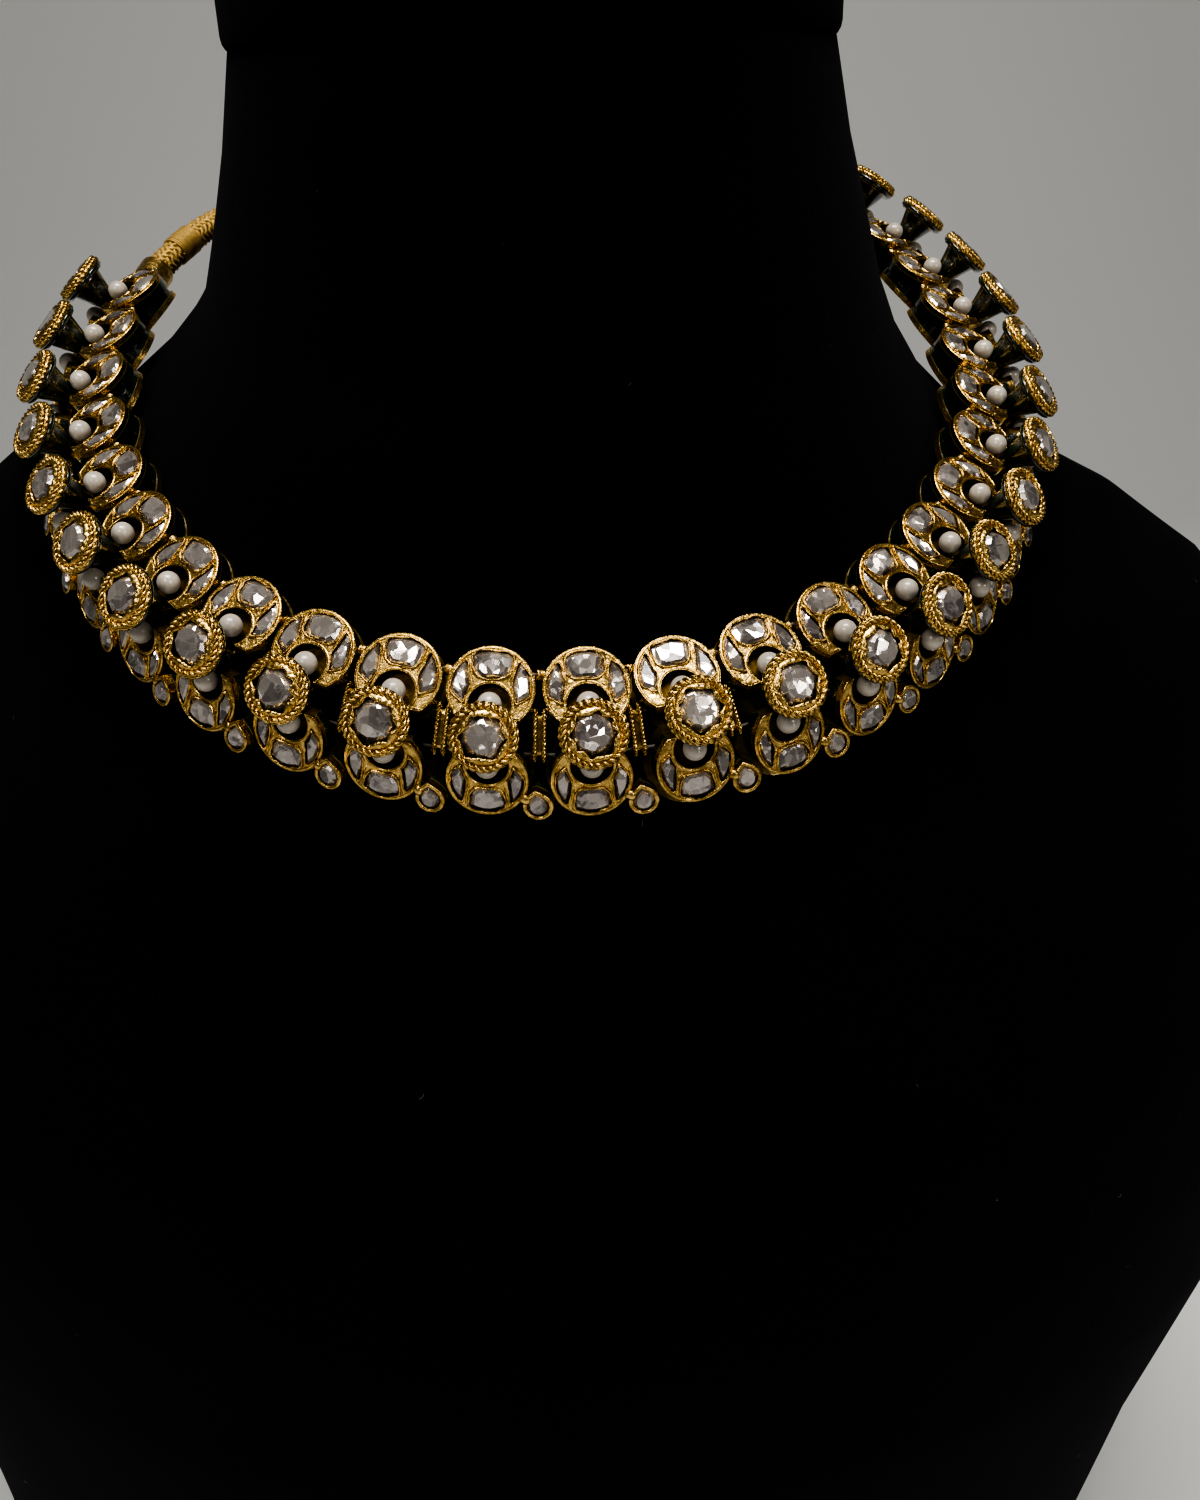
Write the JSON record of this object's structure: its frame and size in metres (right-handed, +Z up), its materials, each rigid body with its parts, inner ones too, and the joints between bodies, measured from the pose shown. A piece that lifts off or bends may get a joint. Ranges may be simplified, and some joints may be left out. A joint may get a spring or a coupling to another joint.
{
  "type": "kundan necklace on a neck bust",
  "caption": "Rigid collar necklace of bent gold settings with flat foiled stones and pearls, strung on threads, tied by a cord round a plain velvet neck bust",
  "frame": {"origin": "on the surface that the bust stands on, in the foot of the bust, straight below the middle of the collar's ring", "axes": "+Z up, the bust faces -Y, +X to the right of a viewer in front of it"},
  "size_m": [0.2945, 0.179, 0.3665],
  "materials": {
    "gold": "polished gold foil, darker in the crevices",
    "kundan_stone": "flat cut, foiled behind, greyish",
    "pearl": "cream imitation pearl",
    "thread": "white twisted thread",
    "green_enamel": "dark green, glossy",
    "gold_cord": "braided metallic thread",
    "velvet": "black velvet"
  },
  "bodies": {
    "root": {"setting_01": "gold", "setting_02": "gold", "setting_03": "gold", "setting_04": "gold", "setting_05": "gold", "setting_06": "gold", "setting_07": "gold", "setting_08": "gold", "setting_09": "gold", "setting_10": "gold", "setting_11": "gold", "setting_12": "gold", "setting_13": "gold", "setting_14": "gold", "setting_15": "gold", "setting_16": "gold", "setting_17": "gold", "setting_18": "gold", "setting_19": "gold", "setting_20": "gold", "setting_21": "gold", "setting_22": "gold", "setting_23": "gold", "setting_24": "gold", "setting_25": "gold", "stud_stones": "kundan_stone", "upper_stones": "kundan_stone", "lower_stones": "kundan_stone", "drop_stones": "kundan_stone", "upper_pearls": "pearl", "lower_pearls": "pearl", "spacers": "gold", "link_beads": "gold", "top_thread": "thread", "upper_thread": "thread", "lower_thread": "thread", "end_beads": "green_enamel", "cord_end_left": "gold", "cord_end_right": "gold", "cord": "gold_cord", "cord_slider": "gold", "bust": "velvet", "neck_cap": "velvet"}
  },
  "joints": []
}
